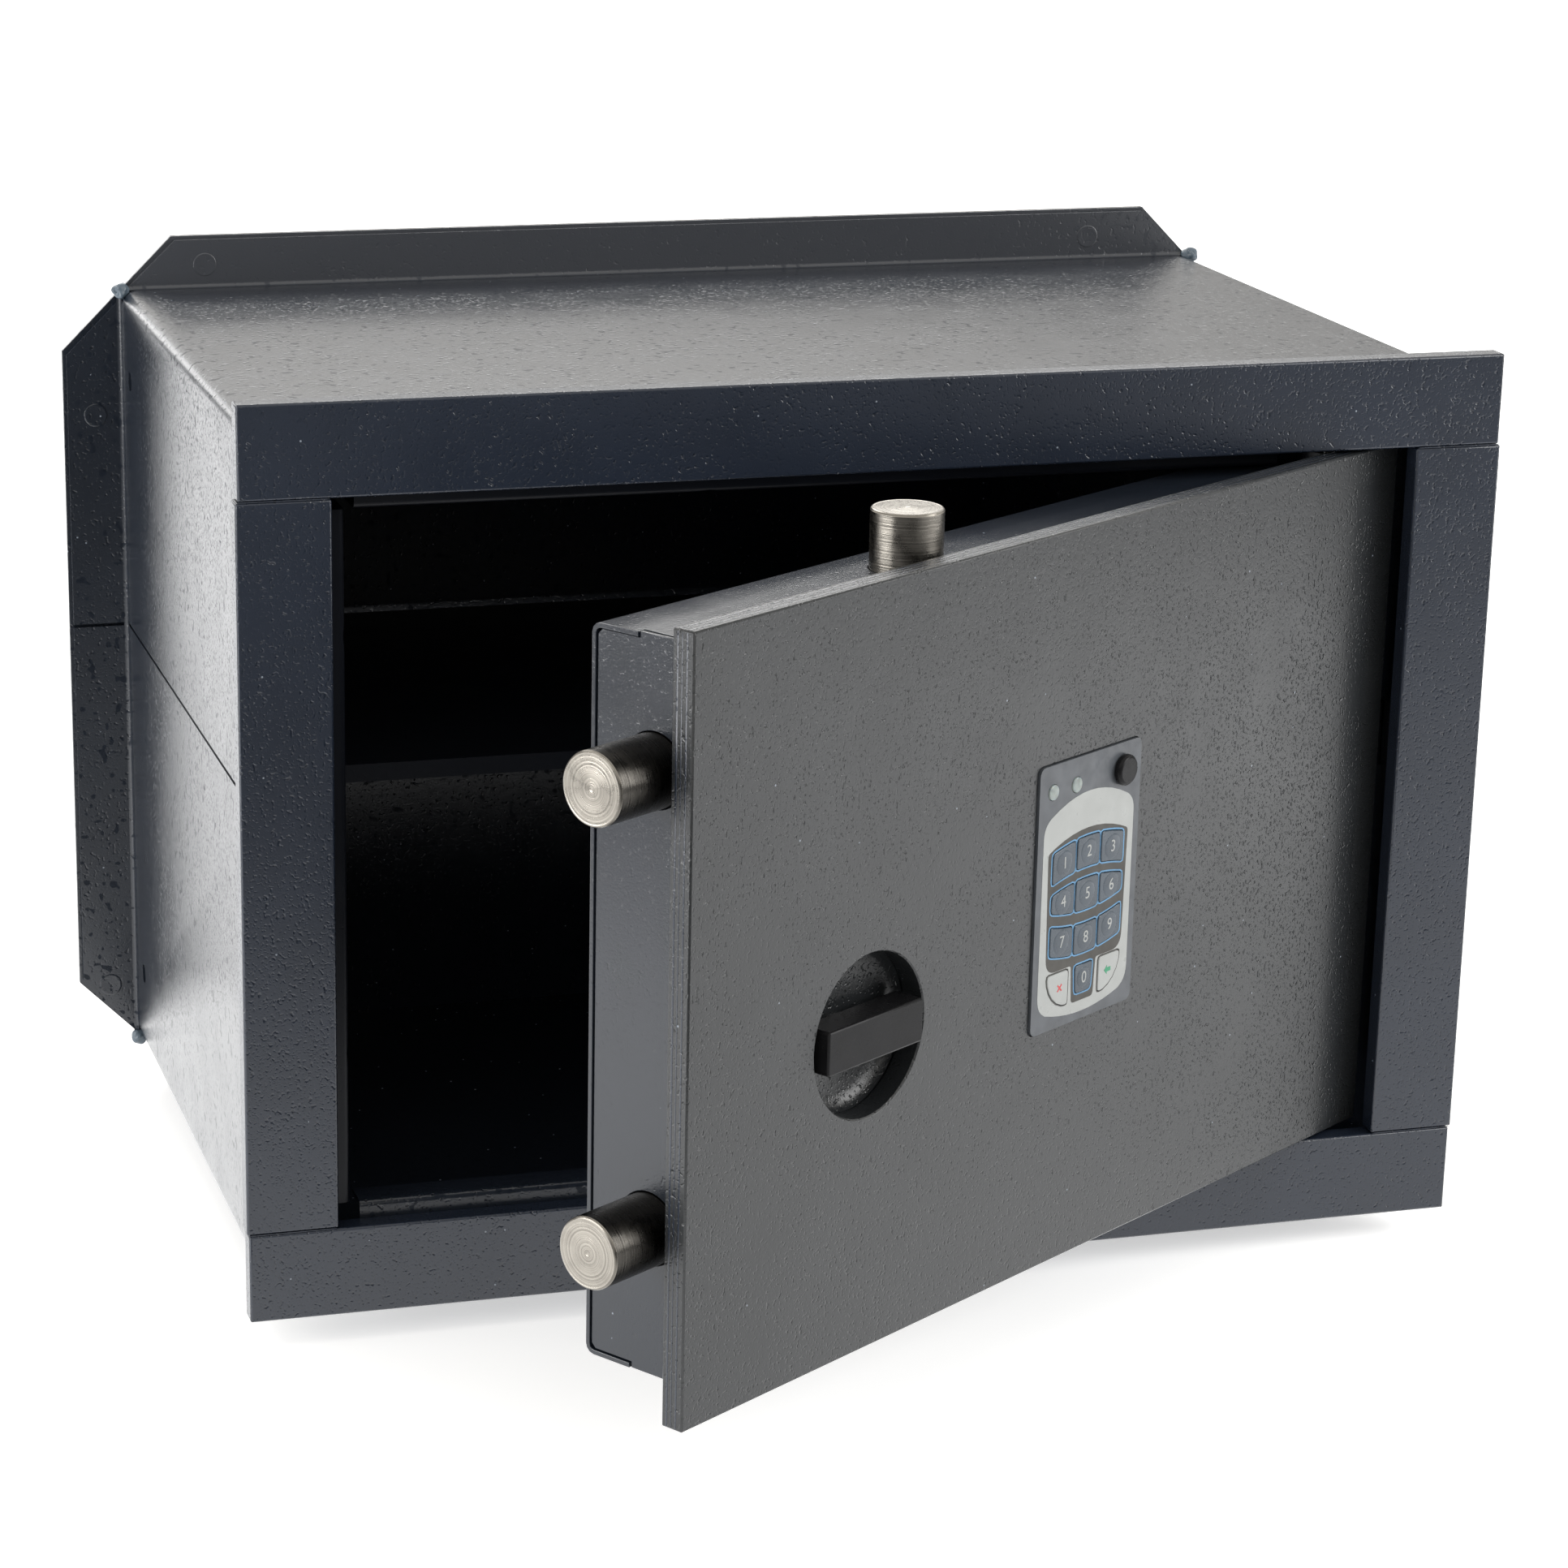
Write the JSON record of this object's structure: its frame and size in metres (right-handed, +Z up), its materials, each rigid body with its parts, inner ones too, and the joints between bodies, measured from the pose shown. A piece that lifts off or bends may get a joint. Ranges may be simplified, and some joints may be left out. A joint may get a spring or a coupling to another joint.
{
  "type": "wall safe",
  "caption": "Wall safe with a flat-bar front frame, sheet body with rear anchoring flanges, and a hinged door with round bolts, recessed turn knob and electronic keypad",
  "frame": {"origin": "middle of the back panel's rear face, which bears on the back of the wall niche", "axes": "+X to the right seen from the front, +Y into the wall, +Z up"},
  "size_m": [0.4514, 0.4419, 0.3184],
  "materials": {
    "body_paint": "anthracite semi-gloss powder paint with fine texture",
    "bolt_nickel": "turned and nickel plated",
    "zinc_steel": "zinc plated",
    "black_plastic": "moulded, satin gloss",
    "keypad_grey": "printed overlay",
    "key_blue_grey": "embossed membrane key",
    "key_white": "embossed membrane key",
    "lamp_lens": "frosted lens",
    "board_green": "solder mask",
    "battery_wrap": "plain shrink wrap",
    "solenoid_brass": "passivated"
  },
  "bodies": {
    "safe": {"upper_shell": "body_paint", "lower_shell": "body_paint", "back_panel": "body_paint", "frame_top_bar": "body_paint", "frame_bottom_bar": "body_paint", "frame_left_bar": "body_paint", "frame_right_bar": "body_paint", "bolt_keeper_left": "body_paint", "bolt_keeper_top": "body_paint", "door_sill": "body_paint", "hinge_bracket_upper": "body_paint", "hinge_bracket_lower": "body_paint", "hinge_pin_upper": "zinc_steel", "hinge_pin_lower": "zinc_steel", "seam_strip_left": "body_paint", "seam_strip_right": "body_paint", "shelf": "body_paint"},
    "door": {"door_plate": "body_paint", "hinge_lug_upper": "body_paint", "hinge_lug_lower": "body_paint", "knob_cup": "body_paint", "lock_chassis": "body_paint", "rear_cover": "body_paint", "bolt_guide_upper": "zinc_steel", "bolt_guide_lower": "zinc_steel", "bolt_guide_top": "zinc_steel", "keypad_housing": "keypad_grey", "circuit_board": "board_green", "solenoid_body": "solenoid_brass", "lamp_left": "lamp_lens", "lamp_right": "lamp_lens", "battery_box": "black_plastic", "battery_pack": "battery_wrap", "cover_screw_upper": "zinc_steel", "cover_screw_lower": "zinc_steel"},
    "knob": {"knob_grip": "black_plastic", "knob_spindle": "zinc_steel", "cam_disc": "zinc_steel", "spindle_clip": "zinc_steel"},
    "left_bolts": {"bolt_carriage": "zinc_steel", "bolt_left_upper": "bolt_nickel", "bolt_left_lower": "bolt_nickel"},
    "top_bolt": {"bolt_top": "bolt_nickel", "top_bolt_link": "zinc_steel"},
    "plunger": {"solenoid_plunger": "zinc_steel"},
    "lid": {"battery_lid": "black_plastic"},
    "cap": {"socket_cap": "black_plastic"},
    "button_1": {"key_1": "key_blue_grey"},
    "button_2": {"key_2": "key_blue_grey"},
    "button_3": {"key_3": "key_blue_grey"},
    "button_4": {"key_4": "key_blue_grey"},
    "button_5": {"key_5": "key_blue_grey"},
    "button_6": {"key_6": "key_blue_grey"},
    "button_7": {"key_7": "key_blue_grey"},
    "button_8": {"key_8": "key_blue_grey"},
    "button_9": {"key_9": "key_blue_grey"},
    "button_0": {"key_0": "key_blue_grey"},
    "button_clear": {"key_clear": "key_white"},
    "button_enter": {"key_enter": "key_white"}
  },
  "joints": [
    {"name": "door_hinge", "type": "hinge", "parent": "safe", "child": "door", "pos_m": [0.155, -0.2495, 0], "axis": [0, 0, 1], "range_deg": [-33, 87]},
    {"name": "knob_turn", "type": "hinge", "parent": "door", "child": "knob", "pos_m": [-0.04828, -0.39642, -0.0184], "axis": [-0.5446, 0.8387, 0], "range_deg": [0, 90]},
    {"name": "left_bolts_slide", "type": "slide", "parent": "door", "child": "left_bolts", "axis": [0.8387, 0.5446, 0], "range_m": [0, 0.022]},
    {"name": "top_bolt_slide", "type": "slide", "parent": "door", "child": "top_bolt", "axis": [0, 0, -1], "range_m": [0, 0.018]},
    {"name": "plunger_slide", "type": "slide", "parent": "door", "child": "plunger", "axis": [0, 0, -1], "range_m": [0, 0.005]},
    {"name": "battery_lid_hinge", "type": "hinge", "parent": "door", "child": "lid", "pos_m": [0.09019, -0.25069, -0.083], "axis": [-0.8387, -0.5446, 0], "range_deg": [0, 90]},
    {"name": "socket_cap_lift", "type": "slide", "parent": "door", "child": "cap", "axis": [0.5446, -0.8387, 0], "range_m": [0, 0.012]},
    {"name": "press_1", "type": "slide", "parent": "door", "child": "button_1", "axis": [-0.5446, 0.8387, 0], "range_m": [0, 0.0005]},
    {"name": "press_2", "type": "slide", "parent": "door", "child": "button_2", "axis": [-0.5446, 0.8387, 0], "range_m": [0, 0.0005]},
    {"name": "press_3", "type": "slide", "parent": "door", "child": "button_3", "axis": [-0.5446, 0.8387, 0], "range_m": [0, 0.0005]},
    {"name": "press_4", "type": "slide", "parent": "door", "child": "button_4", "axis": [-0.5446, 0.8387, 0], "range_m": [0, 0.0005]},
    {"name": "press_5", "type": "slide", "parent": "door", "child": "button_5", "axis": [-0.5446, 0.8387, 0], "range_m": [0, 0.0005]},
    {"name": "press_6", "type": "slide", "parent": "door", "child": "button_6", "axis": [-0.5446, 0.8387, 0], "range_m": [0, 0.0005]},
    {"name": "press_7", "type": "slide", "parent": "door", "child": "button_7", "axis": [-0.5446, 0.8387, 0], "range_m": [0, 0.0005]},
    {"name": "press_8", "type": "slide", "parent": "door", "child": "button_8", "axis": [-0.5446, 0.8387, 0], "range_m": [0, 0.0005]},
    {"name": "press_9", "type": "slide", "parent": "door", "child": "button_9", "axis": [-0.5446, 0.8387, 0], "range_m": [0, 0.0005]},
    {"name": "press_0", "type": "slide", "parent": "door", "child": "button_0", "axis": [-0.5446, 0.8387, 0], "range_m": [0, 0.0005]},
    {"name": "press_clear", "type": "slide", "parent": "door", "child": "button_clear", "axis": [-0.5446, 0.8387, 0], "range_m": [0, 0.0005]},
    {"name": "press_enter", "type": "slide", "parent": "door", "child": "button_enter", "axis": [-0.5446, 0.8387, 0], "range_m": [0, 0.0005]}
  ],
  "couplings": [
    {"joint": "knob_turn", "follows": "left_bolts_slide", "rad_per_m": 71.39},
    {"joint": "top_bolt_slide", "follows": "left_bolts_slide", "ratio": 0.818}
  ]
}
